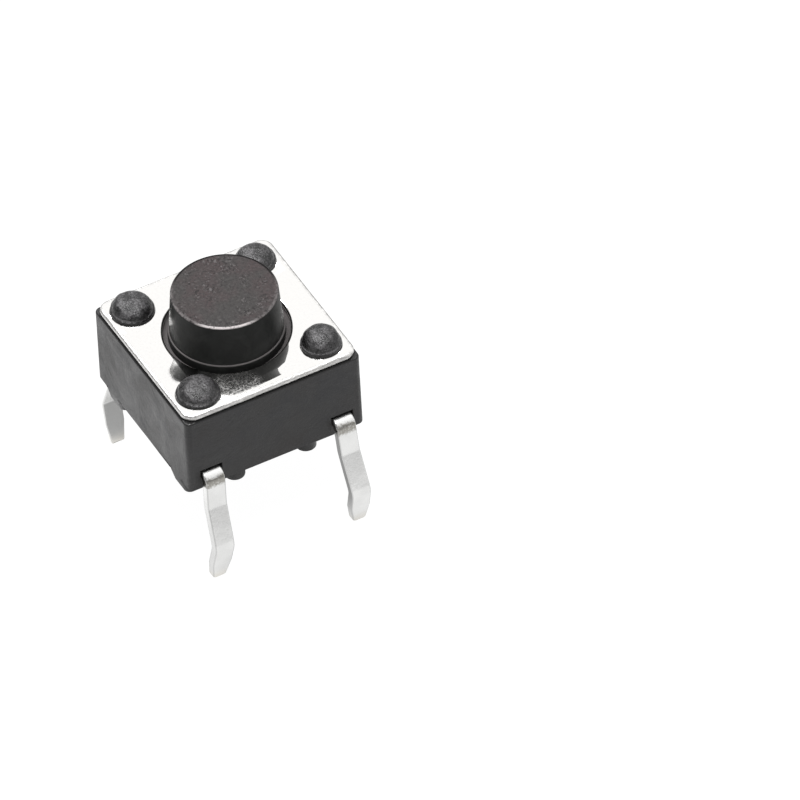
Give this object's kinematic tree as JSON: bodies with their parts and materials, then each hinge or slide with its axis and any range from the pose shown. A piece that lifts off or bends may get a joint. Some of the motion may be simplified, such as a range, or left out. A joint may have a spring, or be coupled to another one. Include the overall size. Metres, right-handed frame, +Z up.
{
  "type": "tactile push switch",
  "caption": "Square through-hole tactile micro switch with a round push button, a staked metal cover and kinked legs.",
  "frame": {"origin": "centre of the housing, on the plane where its underside meets the circuit board", "axes": "+Z up through the button, +X out of a side with legs, +Y out of a plain side"},
  "size_m": [0.0078, 0.006, 0.0079],
  "materials": {
    "base_plastic": "black glass-filled moulding, fine spark-eroded texture",
    "cover_metal": "bright tin-plated steel sheet, lightly rolled grain",
    "button_plastic": "black moulding, satin side, finely mottled top",
    "dome_metal": "silver-plated spring steel",
    "terminal_metal": "silvery plated brass sheet, satin, with sheared edges"
  },
  "bodies": {
    "switch_body": {"base": "base_plastic", "cover_plate": "cover_metal", "snap_dome": "dome_metal", "centre_terminal": "terminal_metal", "rim_terminal": "terminal_metal"},
    "plunger": {"button": "button_plastic"}
  },
  "joints": [
    {"name": "button_press", "type": "slide", "parent": "switch_body", "child": "plunger", "axis": [0, 0, -1], "range_m": [0, 0.00025], "stiffness_N_per_m": 6400, "deforming": ["snap_dome"]}
  ]
}
